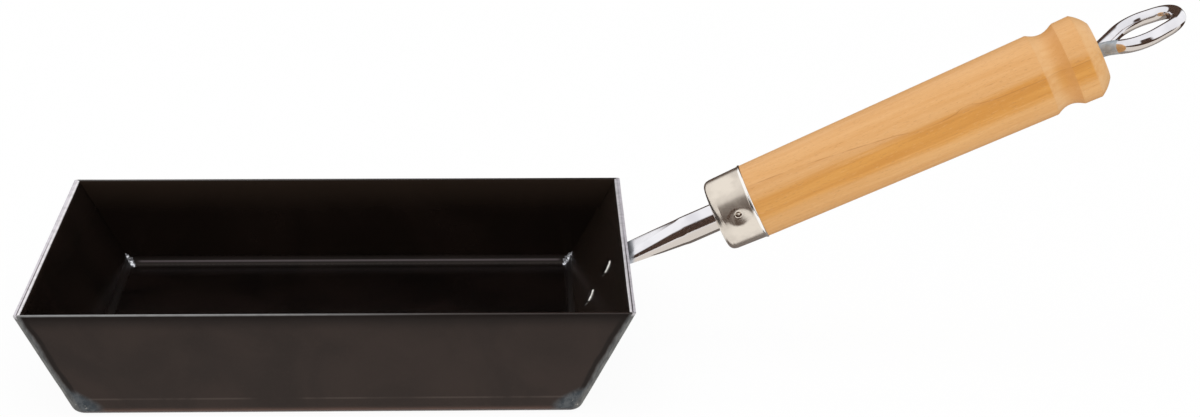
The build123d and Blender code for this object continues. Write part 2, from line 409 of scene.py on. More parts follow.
iron = {
    # colours; a pair is what a noise mottles between
    "inside": ((10, 7, 6), (20, 14, 12)), "insideLitTop": (54, 43, 35), "foldHighlight": (98, 90, 93),
    "outside": ((36, 29, 26), (45, 36, 32)), "freckle": (54, 45, 40), "shade": (14, 10, 9),
    "footLight": (120, 86, 72), "bendGlint": (72, 63, 58), "ground": ((76, 78, 79), (106, 107, 106)),
    "patch": ((52, 61, 67), (88, 93, 96)), "speck": (158, 156, 150), "singe": (17, 12, 10),
    "endRim": ((214, 211, 219), (242, 240, 244)), "longRim": ((112, 113, 113), (30, 25, 24)),
    "rimLine": (48, 42, 44), "tint": (1.0, 0.86, 0.80, 1.0),
    # noises: scale or three scales, detail, roughness, warp
    "wideNoise": (0.035, 4, 0.55, 0.6), "fineNoise": (0.9, 5, 0.6), "speckleNoise": (6.0, 2, 0.5),
    "driftNoise": (0.08, 2), "raggedNoise": (0.16, 3, 0.5), "patchNoise": (0.5, 3, 0.6),
    "streakNoise": ((0.6, 0.6, 0.2), 3, 0.6), "speckNoise": (1.1, 2, 0.5), "rimNoise": (0.3, 4, 0.65),
    # how far the noises push an edge: the first two in mm, the others in shares of the drift
    "drift": 3.0, "ragged": 1.6, "shadeDrift": 0.4, "footLightDrift": 0.2, "lineDrift": 12,
    # spans: from and to, then the strength at either end; in mm, but those of noises are shares
    "mottleSpan": (0.35, 0.65), "skinSpan": (0.5, 0.9, 1, 0), "mitreSpan": (-0.3, 0.3, 1, 0),
    "wallSpan": (20, pan["depth"], 0.12, 0.62), "endSpan": (-1, 1, 0.05, 0.26), "footSpan": (3, 7),
    "foldHighlightHeight": 3.35, "foldHighlightSpan": (0.12, 0.4, 1, 0), "foldHighlightSide": (4.5, 3.5),
    "foldHighlightEnd": (3.5, 5.5, 0, 0.8), "freckleSpan": (0.5, 0.8, 0, 0.3), "footLightSpan": (0.2, 3.0, 0.9, 0),
    "shadeSpan": (27.5, 32.4, 0, 0.85), "bendGlintSpan": (0.1, 0.45, 0.7, 0), "bendGlintNoise": (0.35, 0.6),
    "patchWidth": (3.0, 13.0, 8.6, 1.0), "patchSpan": (-3.2, 0.5, 0.95, 0),
    "bandSpan": (1.3, 2.5, 1, 0), "streakSpan": (0.35, 0.7), "singePlace": 2.85,
    "singeSpan": (0.35, 1.1, 1, 0), "singeFoot": (6.5, 9.5), "speckSpan": (0.68, 0.72),
    "speckTop": (3, 7, 1, 0), "rimDepth": (0.35, 0.12), "rimFacing": (0.25, 0.6), "rimAlong": (-50, 45),
    "rimAcross": (-20, 20), "edgeSpan": (1.1, 1.35), "wearSpan": (0.4, 0.7, 0, 0.3), "linePlace": 0.9,
    "lineSpan": (0.07, 0.2, 1, 0), "lineAcross": (-30, 22, 1, 0),
    # shine and surface
    "bare": 0.3, "roughness": (0, 1, 0.17, 0.42), "foldUp": (1.9, 3.1), "foldDown": (4.2, 5.6, 1, 0),
    "foldRough": (0, 1, 0.35, 0), "fineRough": (0.3, 0.7, -0.04, 0.05), "fineShare": 0.6,
    "bump": (0.012, 0.5), "ior": 1.5, "specular": 0.3,
}


class IronBoard(Board):
    # the sheet's material, with the places and noises that its colours follow
    def __init__(self, name):
        super().__init__(name)
        self.x, self.y, self.z = self.split(self.where)
        self.wide, self.fine = self.cloud(*iron["wideNoise"]), self.cloud(*iron["fineNoise"])
        self.drift = self.swing(self.cloud(*iron["driftNoise"]), iron["drift"])
        # how far in from the end walls' and the long walls' outer faces
        endReach = self.plus(self.times(self.z, tan(lean)), pan["floorLength"] / 2)
        self.fromEnd = self.times(self.minus(endReach, self.maths("ABSOLUTE", self.x)), cos(lean))
        self.fromSide = self.minus(pan["width"] / 2, self.maths("ABSOLUTE", self.y))
        self.onEnd = self.span(self.minus(self.fromEnd, self.fromSide), *iron["mitreSpan"])
        nearest = self.maths("MINIMUM", self.fromEnd, self.fromSide)
        self.outer = self.larger(*(self.span(deep, *iron["skinSpan"]) for deep in (nearest, self.z)))


def insideColour(board):
    colour = board.mottle(board.wide, iron["mottleSpan"], iron["inside"])
    # painted light: the long walls are painted paler towards the rim, where more light reaches in, the end
    # wall at the handle evenly so
    paler = board.times(board.span(board.z, *iron["wallSpan"]), board.minus(1.0, board.onEnd))
    paler = board.plus(paler, board.times(board.span(board.x, *iron["endSpan"]), board.onEnd))
    paler = board.times(paler, board.span(board.z, *iron["footSpan"]))
    colour = board.blend(paler, colour, iron["insideLitTop"])
    # painted highlight: a thin bright line along the long folds inside, where the bend catches the light
    foldHighlight = board.span(board.apart(board.z, iron["foldHighlightHeight"]), *iron["foldHighlightSpan"])
    foldHighlight = board.times(foldHighlight, board.span(board.fromSide, *iron["foldHighlightSide"]),
                          board.span(board.fromEnd, *iron["foldHighlightEnd"]))
    return board.blend(foldHighlight, colour, iron["foldHighlight"])


def outsideColour(board):
    colour = board.mottle(board.wide, iron["mottleSpan"], iron["outside"])
    colour = board.blend(board.span(board.fine, *iron["freckleSpan"]), colour, iron["freckle"])
    # painted shade under the rim, painted light bounced from the floor at the foot
    for name in ("shade", "footLight"):
        level = board.plus(board.z, board.times(board.drift, iron[name + "Drift"]))
        colour = board.blend(board.span(level, *iron[name + "Span"]), colour, iron[name])
    # painted highlight: a faint light line where the flat wall turns into the fold, broken by noise
    bendGlint = board.span(board.apart(board.z, pan["bend"]), *iron["bendGlintSpan"])
    bendGlint = board.times(bendGlint, board.span(board.wide, *iron["bendGlintNoise"]))
    return board.blend(bendGlint, colour, iron["bendGlint"])


def markCorners(board, colour):
    # the grinder's wider patch near the floor, then its band down the corner
    ragged = board.swing(board.cloud(*iron["raggedNoise"]), iron["ragged"])
    fromCorner = board.plus(board.larger(board.fromEnd, board.fromSide), ragged)
    patch = board.minus(fromCorner, board.span(board.z, *iron["patchWidth"]))
    patch = board.times(board.outer, board.span(patch, *iron["patchSpan"]))
    mottled = board.mottle(board.cloud(*iron["patchNoise"]), iron["mottleSpan"], iron["patch"])
    colour = board.blend(patch, colour, mottled)
    # a dark line beside the band, where the weld's heat ended
    singe = board.span(board.apart(fromCorner, iron["singePlace"]), *iron["singeSpan"])
    singe = board.times(board.outer, singe, board.span(board.z, *iron["singeFoot"]))
    colour = board.blend(singe, colour, iron["singe"])
    # ground metal down the corner, its pale streaked grey also a painted highlight of the rounded corner
    band = board.times(board.outer, board.span(fromCorner, *iron["bandSpan"]))
    streaked = board.mottle(board.cloud(*iron["streakNoise"]), iron["streakSpan"], iron["ground"])
    colour = board.blend(band, colour, streaked)
    specks = board.span(board.cloud(*iron["speckNoise"]), *iron["speckSpan"])
    specks = board.times(specks, board.times(patch, board.span(board.z, *iron["speckTop"])))
    return board.blend(specks, colour, iron["speck"]), specks


def rimColour(board):
    # bare cut edge along the rim, with painted reflection: bright over the end walls, light at the front
    # left and dark over the rest of the long walls
    fading = board.larger(board.span(board.x, *iron["rimAlong"]), board.span(board.y, *iron["rimAcross"]))
    endColour = board.mottle(board.fromEnd, iron["edgeSpan"], iron["endRim"])
    colour = board.blend(board.onEnd, board.blend(fading, *iron["longRim"]), endColour)
    worn = board.span(board.cloud(*iron["rimNoise"]), *iron["wearSpan"])
    colour = board.blend(worn, colour, board.blend(board.onEnd, iron["longRim"][1], iron["ground"][1]))
    # a dark line along the end walls' rim, fading out towards the back
    rimDarkLine = board.span(board.apart(board.fromEnd, iron["linePlace"]), *iron["lineSpan"])
    reach = board.plus(board.y, board.times(board.drift, iron["lineDrift"]))
    rimDarkLine = board.times(rimDarkLine, board.span(reach, *iron["lineAcross"]), board.onEnd)
    return board.blend(rimDarkLine, colour, iron["rimLine"])


def ironFinish():
    board = IronBoard("blackIron")
    colour = board.blend(board.outer, insideColour(board), outsideColour(board))
    colour, specks = markCorners(board, colour)
    rim = board.span(board.z, *(pan["depth"] - depth for depth in iron["rimDepth"]))
    rim = board.times(rim, board.span(board.facingUp(), *iron["rimFacing"]))
    colour = board.blend(rim, colour, rimColour(board))
    bare = board.larger(board.times(rim, board.onEnd, iron["bare"]), board.times(specks, iron["bare"]))
    # duller outside, and in the folds inside
    rough = board.span(board.outer, *iron["roughness"])
    fold = board.times(board.span(board.z, *iron["foldUp"]), board.span(board.z, *iron["foldDown"]))
    rough = board.plus(rough, board.times(fold, board.span(board.outer, *iron["foldRough"])))
    rough = board.plus(rough, board.span(board.fine, *iron["fineRough"]))
    speckle = board.times(board.cloud(*iron["speckleNoise"]), 1 - iron["fineShare"])
    board.bump(board.plus(board.times(board.fine, iron["fineShare"]), speckle), *iron["bump"])
    return board.finish(Base_Color=colour, Metallic=bare, Roughness=rough, IOR=iron["ior"],
                        Specular_IOR_Level=iron["specular"], Specular_Tint=iron["tint"])


panSheet = addPiece("panSheet", buildPanSheet(), [ironFinish()], ["pan_body"])
print("pan sheet made:", len(panSheet.data.polygons), "faces")


# Corner welds: a ground run down each outer corner, a lumpy bead in the fold inside
weld = {
    "rimTurns": (45, 90), "runWander": 0.35, "wanderStep": 4, "cornerSteps": 5,
    "beadLength": 4.2, "beadWidth": 1.9, "beadHeight": 0.62, "beadStart": 0.25, "beadPower": 1.5,
    "beadSwell": 0.7, "beadTip": 0.03, "ripples": 4, "rippleDepth": 0.16, "lumpDepth": 0.25,
    "lumpAround": 1.2, "lumpAlong": 6, "rings": 26, "around": 18,
    "colours": ((90, 90, 88), (116, 116, 113)), "streak": (72, 71, 69), "top": (186, 183, 186),
    "noise": (0.35, 3, 0.55), "spread": (0.35, 0.65), "streakNoise": ((1.2, 1.2, 0.35), 3, 0.6),
    "streakSpan": (0.5, 0.8, 0, 0.5), "topSpan": (31.8, 32.8), "bump": (0.04, 0.5), "metallic": 0.25,
    "rough": (0.3, 0.7, 0.30, 0.42),
}
bead = {"noise": (0.9, 4, 0.6), "spread": (0.38, 0.56), "colours": ((112, 112, 116), (232, 234, 240)),
        "bump": (0.12, 0.7), "metallic": 0.8, "rough": (0.3, 0.7, 0.30, 0.14)}
weldPlaces = {"front_left": (-1, -1, 1.3), "front_right": (1, -1, 2.6),  # signs of x and y, noise seed
              "back_left": (-1, 1, 4.1), "back_right": (1, 1, 5.7)}


def runRings(signX, signY, seed):
    # the ground run, from the foot up and over the rim
    rings = []
    for height, inset in wallLevels(weld["rimTurns"]):
        (fullX, fullY), (weldX, weldY) = panReach(height, inset), panReach(height, pan["weldLeg"])
        wander = noise.noise(Vector((seed, height / weld["wanderStep"], 0)))
        bent = pan["cornerRound"] * (1 + weld["runWander"] * wander)
        arc = arcPoints((fullX - bent, fullY - bent), bent, 90, 0, weld["cornerSteps"])
        ring = [(weldX, weldY), (weldX, fullY), *arc, (fullX, weldY)]
        rings.append([Vector((signX * px, signY * py, height)) for px, py in ring])
    return rings


def beadRings(signX, signY, seed):
    # a small leaf of weld metal up the mitre of the two folds
    shares = [k / (weld["rings"] - 1) for k in range(weld["rings"])]
    path = []
    for share in shares:
        height = pan["sheet"] + weld["beadStart"] + share ** weld["beadPower"] * weld["beadLength"]
        px, py = panReach(height, inner=True)
        path.append(Vector((signX * px, signY * py, height)))
    rings = []
    for k, (share, point) in enumerate(zip(shares, path)):
        way = wayAlong(path, k)
        across = way.cross(upward).normalized()
        out = across.cross(way).normalized()
        body = max(weld["beadTip"], sin(pi * share) ** weld["beadSwell"])
        body *= 1 + weld["rippleDepth"] * sin(share * weld["ripples"] * 2 * pi + seed)
        ring = []
        for turn in roundTurns(weld["around"]):
            px, py = cos(turn), sin(turn)
            spot = (seed * 3 + px * weld["lumpAround"], py * weld["lumpAround"], share * weld["lumpAlong"])
            lump = 1 + weld["lumpDepth"] * noise.noise(Vector(spot))
            spread = across * px * weld["beadWidth"] + out * py * weld["beadWidth"] * weld["beadHeight"]
            ring.append(point + spread * body * lump)
        rings.append(ring)
    return rings


def buildCornerWeld(signX, signY, seed):
    verts, faces = skinOver(runRings(signX, signY, seed))
    beadStart = len(verts)
    beadVerts, beadFaces = skinOver(beadRings(signX, signY, seed), start=beadStart)
    return verts + beadVerts, faces + beadFaces, beadStart


def weldFinish():
    board = Board("groundWeld")
    mottled, streaks = board.cloud(*weld["noise"]), board.cloud(*weld["streakNoise"])
    colour = board.mottle(mottled, weld["spread"], weld["colours"])
    colour = board.blend(board.span(streaks, *weld["streakSpan"]), colour, weld["streak"])
    colour = board.blend(board.span(board.split(board.where)[2], *weld["topSpan"]), colour, weld["top"])
    board.bump(board.plus(mottled, streaks), *weld["bump"])
    return board.finish(Base_Color=colour, Metallic=weld["metallic"],
                        Roughness=board.span(mottled, *weld["rough"]))


weldFinishes = [weldFinish(), mottledMetal("weldBead", bead)]
for name, facts in weldPlaces.items():
    addPiece("cornerWeld_" + name, buildCornerWeld(*facts), weldFinishes, ["weld_" + name])
print("corner welds made:", len(weldPlaces))


# Line of the handle, from the bend of its strip
handle = {"angle": 24.8, "drop": 6.2, "stripThickness": 2.5}
handleTurn = radians(handle["angle"])
wallDown = Vector((-sin(lean), 0, -cos(lean)))
wallOut = Vector((cos(lean), 0, -sin(lean)))
rimEdge = Vector((pan["rimLength"] / 2, 0, pan["depth"]))
bendPoint = rimEdge + wallDown * handle["drop"] + wallOut * (handle["stripThickness"] / 2)
handleWay = Vector((cos(handleTurn), 0, sin(handleTurn)))
handleUp = Vector((-sin(handleTurn), 0, cos(handleTurn)))


def onHandle(distance, offset, height):
    return bendPoint + handleWay * distance + side * offset + handleUp * height


def turned(profile, turns, bowl=None):
    # rings round the handle's line from (distance, radius) pairs; a bowl can change each radius
    rings = []
    for distance, radius in profile:
        radii = [bowl(distance, turn, radius) if bowl else radius for turn in turns]
        rings.append([onHandle(distance, -r * cos(turn), r * sin(turn)) for r, turn in zip(radii, turns)])
    return rings


# Shank: tube pressed flat towards the pan, its strip bent down the wall
shank = {
    "tube": 9.3, "stripWidth": 13.0, "stripRun": 0.5, "openRun": 22.5, "tubeEnd": 62.5, "bend": 1.4,
    "rivetInset": 5.6, "rivetPitch": 11.5, "step": 0.45, "flatPoints": 5, "roundPoints": 20, "tip": 0.04,
    # raised above the handle's line at the wall and at the tube, rolled, and pinched where it opens
    "raised": (0.8, 0.1), "raiseRun": (-3, 0), "roll": 5.0, "rollRun": (-2, 4), "rollEnd": (0.55, 1.0),
    "pinch": 0.03, "pinchRun": (0.8, 1.0),
}
shank["stripLength"] = shank["rivetInset"] + shank["rivetPitch"] + shank["stripWidth"] / 2


def stripRing(tall, wide):
    # half rounds joined by flats, as (across, height) pairs
    flat, ring = (wide - tall) / 2, []
    for sign in (1, -1):
        for i in range(shank["roundPoints"] + 1):
            turn = pi * i / shank["roundPoints"]
            ring.append((sign * (flat + tall / 2 * sin(turn)), sign * tall / 2 * cos(turn)))
        for i in range(1, shank["flatPoints"]):
            ring.append((sign * flat * (1 - 2 * i / shank["flatPoints"]), -sign * tall / 2))
    return ring


def tipSqueeze(toTip):
    # share of the strip's width that its rounded end leaves
    radius = shank["stripWidth"] / 2
    chord = sqrt(max(0.0, radius ** 2 - (radius - min(toTip, radius)) ** 2))
    return max(shank["tip"], chord / radius)


def buildShank():
    turnIn = lean + handleTurn
    tip = (-shank["stripLength"] * sin(turnIn), -shank["stripLength"] * cos(turnIn))
    line = roundedLine([(shank["tubeEnd"], 0), (0, 0), tip], [shank["bend"]], shank["step"])
    steps = [(there - here).length for here, there in zip(line, line[1:])]
    rings = []
    for k, point in enumerate(line):
        way = wayAlong(line, k)
        way = handleWay * way.x + handleUp * way.y
        lift = way.cross(side).normalized()
        if lift.dot(handleUp) < 0:
            lift = -lift
        opened = clampShare((point.x - shank["stripRun"]) / shank["openRun"])
        raised = between(*shank["raised"], opened) * ease(*shank["raiseRun"], point.x)
        centre = onHandle(point.x, 0, point.y + raised)
        roll = 1 - ease(*shank["rollEnd"], opened)
        roll *= radians(shank["roll"]) * ease(*shank["rollRun"], point.x)
        opened -= shank["pinch"] * sin(pi * ease(*shank["pinchRun"], opened))
        tall = between(handle["stripThickness"], shank["tube"], opened)
        wide = between(shank["stripWidth"], shank["tube"], opened)
        squeeze = tipSqueeze(sum(steps[k:]))
        ring = []
        for across, height in stripRing(tall, wide):
            across *= squeeze
            ring.append(centre + side * (across * cos(roll) - height * sin(roll))
                        + lift * (height * cos(roll) + across * sin(roll)))
        rings.append(ring)
    return skinOver(rings)


chrome = {
    "colours": ((240, 239, 243), (222, 221, 226)), "under": (212, 203, 195), "dullShaded": (188, 191, 197),
    "smearNoise": (0.12, 3, 0.5, 0.4), "smearSpan": (0.35, 0.7), "underSpan": (-0.1, 0.25, 1, 0),
    "rough": (0.3, 0.7, 0.05, 0.10), "pitNoise": (2.6, 1, 0.4), "pitSpan": (0.74, 0.79), "pitRough": 0.35,
    # the strip's bend is duller, and painted grey for the dark wall it reflects: up to how far beyond the
    # rim, and how softly that ends
    "dullReach": 1.3, "dullSoft": (-0.4, 1.4), "dullRough": 0.5,
    # what polishing left: its noise and its depth
    "shankGrain": ((0.25, 4, 4), 2, 0.5), "shankDepth": 0.01,
    "eyeGrain": ((0.5, 0.5, 0.5), 2, 0.5), "eyeDepth": 0.012, "grainStrength": 0.35,
}


def chromeFinish(piece, dullShadedBend=False):
    board = Board(piece + "Chrome")
    smear = board.cloud(*chrome["smearNoise"])
    colour = board.mottle(smear, chrome["smearSpan"], chrome["colours"])
    # painted reflection: faces turned down take a duller beige, for the floor they reflect
    colour = board.blend(board.span(board.facingUp(), *chrome["underSpan"]), colour, chrome["under"])
    pits = board.span(board.cloud(*chrome["pitNoise"]), *chrome["pitSpan"])
    rough = board.plus(board.span(smear, *chrome["rough"]), board.times(pits, chrome["pitRough"]))
    if dullShadedBend:
        start, end = (rimEdge.x + chrome["dullReach"] + soft for soft in chrome["dullSoft"])
        # painted reflection: grey and rougher where the bend faces the dark wall
        dullShaded = board.span(board.split(board.where)[0], start, end, 1, 0)
        colour = board.blend(dullShaded, colour, chrome["dullShaded"])
        rough = board.plus(rough, board.times(dullShaded, chrome["dullRough"]))
    board.bump(board.cloud(*chrome[piece + "Grain"]), chrome[piece + "Depth"], chrome["grainStrength"])
    return board.finish(Base_Color=colour, Metallic=1.0, Roughness=rough)


shankChrome = chromeFinish("shank", dullShadedBend=True)
addPiece("shankTube", buildShank(), [shankChrome], ["handle_shank"], 40)
print("shank made")


# Rivets through strip and wall: low dome inside the pan, higher one outside
rivet = {
    "stem": 4.0, "innerHead": 6.4, "innerHeight": 0.42, "innerPower": 13, "outerHead": 7.4,
    "outerHeight": 1.5, "outerPower": 2.2, "seat": 0.02, "rounded": 0.1, "tip": 0.002,
    "segments": 48, "steps": 24,
    "noise": (0.8, 4, 0.6), "spread": (0.35, 0.65), "colours": ((190, 186, 180), (236, 233, 228)),
    "dents": (1.6, 3, 0.5), "bump": (0.03, 0.4), "metallic": 1.0, "rough": (0.3, 0.7, 0.08, 0.16),
}


def buildRivet(place):
    innerFace, outerFace, seat = -pan["sheet"], handle["stripThickness"], rivet["seat"]
    innerHalf, outerHalf, stemHalf = rivet["innerHead"] / 2, rivet["outerHead"] / 2, rivet["stem"] / 2
    shares = [k / rivet["steps"] for k in range(rivet["steps"] + 1)]
    profile = []
    for share in shares:
        dome = rivet["innerHeight"] * (1 - share ** rivet["innerPower"])
        profile.append((innerFace - dome, innerHalf * share))
    profile += [(innerFace + seat, innerHalf - rivet["rounded"]), (innerFace + seat, stemHalf)]
    profile += [(outerFace - seat, stemHalf), (outerFace - seat, outerHalf - rivet["rounded"])]
    for share in reversed(shares):
        dome = rivet["outerHeight"] * (1 - share ** rivet["outerPower"])
        profile.append((outerFace + dome, outerHalf * share))
    rings = []
    for depth, radius in profile:
        centre = rimEdge + wallDown * place + wallOut * depth
        r = max(radius, rivet["tip"])
        rings.append([centre + (side * r * cos(turn) + wallDown * r * sin(turn))
                      for turn in roundTurns(rivet["segments"])])
    return skinOver(rings)


rivetSteel = mottledMetal("rivetSteel", rivet)
upperPlace = handle["drop"] + shank["rivetInset"]
for name, place in (("upper", upperPlace), ("lower", upperPlace + shank["rivetPitch"])):
    addPiece("rivet_" + name + "_head", buildRivet(place), [rivetSteel], ["rivet_" + name], 40)
print("rivets made")


# Ferrule: drawn cap, crimped into the wood at two sides
ferrule = {
    "front": 34.1, "length": 13.5, "frontWidth": 24.0, "backWidth": 24.9, "sheet": 0.7, "shoulder": 2.2,
    "hole": 9.9, "edge": 0.15, "faceRings": (6.5, 8.0, 9.2), "lip": 0.5, "flare": 0.28, "flareRun": 0.7,
    "lipEdge": 0.1, "shoulderSteps": 12, "bodySteps": 80, "lipSteps": 5, "innerSteps": 24, "innerTurns": 6,
    # the crimp is where a ball of this radius was pressed in, beside it a punch mark
    "ball": 30.0, "crimpWaist": 2.5, "crimpDepth": 0.5, "crimpSoft": 0.25, "crimpPlace": 7.4,
    "crimpTurn": 4.3, "crimpReach": 0.9, "mark": 2.3, "markDepth": 0.9, "markPower": 1.3,
    "markPlace": 7.6, "markTurn": 9.0, "fineTurn": 26, "fineStep": 0.6, "coarseStep": 4,
}
ferruleBack = ferrule["front"] + ferrule["length"]


def ferruleHalf(distance):
    # half width of the cap, without its lip
    growth = (ferrule["backWidth"] - ferrule["frontWidth"]) / 2 / ferrule["length"]
    return ferrule["frontWidth"] / 2 + growth * (distance - ferrule["front"])


def crimped(extra):
    # pushes the skin in where it was pressed, with eased edges; extra is the sheet, for the inside
    place, markPlace = ferrule["front"] + ferrule["crimpPlace"], ferrule["front"] + ferrule["markPlace"]
    skin = ferruleHalf(place)
    ball, soft = ferrule["ball"] + extra, ferrule["crimpSoft"]
    reach = skin + ferrule["ball"] - ferrule["crimpDepth"]

    def pressed(distance, turn, radius):
        for start in (0, pi):
            off = (turn - start - radians(ferrule["crimpTurn"]) + pi) % (2 * pi) - pi
            if abs(off) > ferrule["crimpReach"]:
                continue
            waist = ferrule["crimpWaist"] * (distance - place) ** 2
            sweep = (reach * cos(off)) ** 2 - (reach ** 2 + waist - ball ** 2)
            if sweep > 0:
                wall = reach * cos(off) - sqrt(sweep)
                gap = clampShare(0.5 + (radius - wall) / (2 * soft))
                radius = radius + (wall - radius) * gap - soft * gap * (1 - gap)
            off = (turn - start - radians(ferrule["markTurn"]) + pi) % (2 * pi) - pi
            spread = ((off * skin) ** 2 + (distance - markPlace) ** 2) / (ferrule["mark"] / 2) ** 2
            if spread < 1 and not extra:
                radius -= ferrule["markDepth"] * (1 - spread) ** ferrule["markPower"]
        return radius

    return pressed


def ferruleTurns():
    # fine steps round the crimps, coarse ones between them
    fine, step, coarse = ferrule["fineTurn"], ferrule["fineStep"], ferrule["coarseStep"]
    half = [-fine + step * k for k in range(int(2 * fine / step))]
    half += [fine + coarse * k for k in range(int((180 - 2 * fine) / coarse))]
    return [radians(turn + start) for start in (0, 180) for turn in half]


def ferruleOuter():
    # front face, shoulder, body and flared lip
    front, shoulder, lip = ferrule["front"], ferrule["shoulder"], ferrule["lip"]
    holeHalf, edge = ferrule["hole"] / 2, ferrule["edge"]
    line = [(front + edge, holeHalf), (front, holeHalf + edge)]
    line += [(front, radius) for radius in ferrule["faceRings"]]
    centre = (front + shoulder, ferrule["frontWidth"] / 2 - shoulder)
    line += arcPoints(centre, shoulder, 180, 90, ferrule["shoulderSteps"])
    for k in range(1, ferrule["bodySteps"]):
        distance = between(front + shoulder, ferruleBack - lip, k / ferrule["bodySteps"])
        flare = ferrule["flare"] * ease(lip + ferrule["flareRun"], lip, ferruleBack - distance)
        line.append((distance, ferruleHalf(distance) + flare))
    lipHalf = ferruleHalf(ferruleBack) + ferrule["flare"]
    return line + arcPoints((ferruleBack - lip, lipHalf - lip), lip, 90, 0, ferrule["lipSteps"])


def ferruleInner():
    # from the lip back to the hole
    front, shoulder, sheet, edge = (ferrule[name] for name in ("front", "shoulder", "sheet", "lipEdge"))
    lipHalf = ferruleHalf(ferruleBack) + ferrule["flare"] - sheet
    line = [(ferruleBack, lipHalf + edge), (ferruleBack - edge, lipHalf)]
    for k in range(1, ferrule["innerSteps"]):
        distance = between(ferruleBack, front + shoulder, k / ferrule["innerSteps"])
        line.append((distance, ferruleHalf(distance) - sheet))
    centre = (front + shoulder, ferrule["frontWidth"] / 2 - shoulder)
    line += arcPoints(centre, shoulder - sheet, 90, 180, ferrule["innerTurns"])
    return line + [(front + sheet, ferrule["hole"] / 2)]


def buildFerrule():
    turns = ferruleTurns()
    rings = turned(ferruleOuter(), turns, crimped(0.0))
    rings += turned(ferruleInner(), turns, crimped(ferrule["sheet"]))
    return skinOver(rings, closed=True)


nickel = {
    # the lip colour is a painted highlight
    "colours": ((232, 222, 209), (212, 202, 190)), "lip": (252, 250, 246),
    "brushNoise": ((2.2, 0.3, 0.3), 2, 0.5), "smearNoise": (0.14, 3, 0.5), "smearSpan": (0.35, 0.7),
    "rough": (0.3, 0.7, 0.22, 0.26), "markSpan": (1.0, 1.8, 0.35, 1), "lipSoft": 0.4,
    "lipRough": (0, 1, 1, 0.6), "bump": (0.006, 0.25),
}


def nickelFinish():
    board = Board("satinNickel", turn=(0, handleTurn, 0))
    brushed = board.cloud(*nickel["brushNoise"])
    colour = board.mottle(board.cloud(*nickel["smearNoise"]), nickel["smearSpan"], nickel["colours"])
    rough = board.span(brushed, *nickel["rough"])
    # the punch left its marks bright
    skin = ferrule["frontWidth"] / 2
    for turn in (radians(ferrule["markTurn"]), radians(ferrule["markTurn"]) + pi):
        spot = onHandle(ferrule["front"] + ferrule["markPlace"], -skin * cos(turn), skin * sin(turn))
        rough = board.times(rough, board.span(board.measure("DISTANCE", spot), *nickel["markSpan"]))
    # and its flared lip has a painted highlight: near white and smoother, for the light its rounded edge
    # catches
    lipStart = bendPoint.dot(handleWay) + ferruleBack - ferrule["lip"] - ferrule["flareRun"]
    lip = board.span(board.measure("DOT_PRODUCT", handleWay), lipStart, lipStart + nickel["lipSoft"])
    colour = board.blend(lip, colour, nickel["lip"])
    rough = board.times(rough, board.span(lip, *nickel["lipRough"]))
    board.bump(brushed, *nickel["bump"])
    return board.finish(Base_Color=colour, Metallic=1.0, Roughness=rough)


addPiece("ferruleCap", buildFerrule(), [nickelFinish()], ["ferrule"], 50)
print("ferrule made")


# Wooden grip: turned, with a cove and a rounded cap
grip = {
    "length": 121.0, "width": 27.7, "coveWidth": 8.9, "coveDepth": 1.5, "capLength": 10.8, "capGrowth": 0.6,
    "buttRound": 4.6, "chamferShare": 0.7, "bore": 5.4, "boreEdge": 0.2, "plug": 21.0, "plugStart": 1.2,
    "edge": 0.25, "arris": 0.07, "coveInset": 0.05,
    # the cap's front as distances and drops, and how far before its round its belly has rings
    "capFront": [(0.25, 0.2), (0.5, 0.12), (0.8, 0.1)], "capGaps": (3.6, 2.4, 1.2, 0.5, 0.15),
    "capDrop": 0.1, "capEase": (0, 5), "buttRings": (8.0, 6.0, 4.4, 3.2),
    "taperSteps": 40, "taperEnd": [0.992, 0.997], "coveSteps": 24, "roundSteps": 20, "segments": 160,
}
butt = ferruleBack + grip["length"]
capStart = butt - grip["capLength"]
coveStart = capStart - grip["coveWidth"]


def gripFront():
    # plug inside the ferrule, then the taper to the cove
    half, frontHalf = grip["width"] / 2, ferrule["backWidth"] / 2
    start = ferrule["front"] + grip["plugStart"]
    line = [(start, grip["bore"] / 2), (start, grip["plug"] / 2), (ferruleBack, grip["plug"] / 2)]
    shares = [k / grip["taperSteps"] for k in range(grip["taperSteps"])] + grip["taperEnd"] + [1.0]
    return line + [(between(ferruleBack, coveStart - grip["edge"], share), between(frontHalf, half, share))
                   for share in shares]


def gripCove():
    # a shallow cove with crisp arrises
    line = []
    for k in range(grip["coveSteps"] + 1):
        share = -1 + 2 * k / grip["coveSteps"]
        drop = grip["coveDepth"] * (1 - share * share) + grip["arris"] * (abs(share) == 1)
        line.append(((coveStart + capStart) / 2 + share * (grip["coveWidth"] / 2 - grip["coveInset"]),
                     grip["width"] / 2 - drop))
    return line


def gripCap():
    # the cap and its butt, whose round is nearly a chamfer
    capHalf, size, flat = (grip["width"] + grip["capGrowth"]) / 2, grip["buttRound"], grip["chamferShare"]
    faceEnd = butt - size
    line = [(capStart + distance, capHalf - drop) for distance, drop in grip["capFront"]]
    for gap in grip["capGaps"]:
        line.append((faceEnd - gap, capHalf - grip["capDrop"] * ease(*grip["capEase"], gap)))
    for k, (px, py) in enumerate(arcPoints((faceEnd, capHalf - size), size, 90, 0, grip["roundSteps"])):
        share = k / grip["roundSteps"]
        line.append((between(px, faceEnd + size * share, flat), between(py, capHalf - size * share, flat)))
    line += [(butt, radius) for radius in grip["buttRings"]]
    boreHalf, edge = grip["bore"] / 2, grip["boreEdge"]
    return line + [(butt, boreHalf + edge), (butt - edge, boreHalf)]


def buildGrip():
    profile = gripFront() + gripCove() + gripCap()
    return skinOver(turned(profile, roundTurns(grip["segments"])), closed=True)


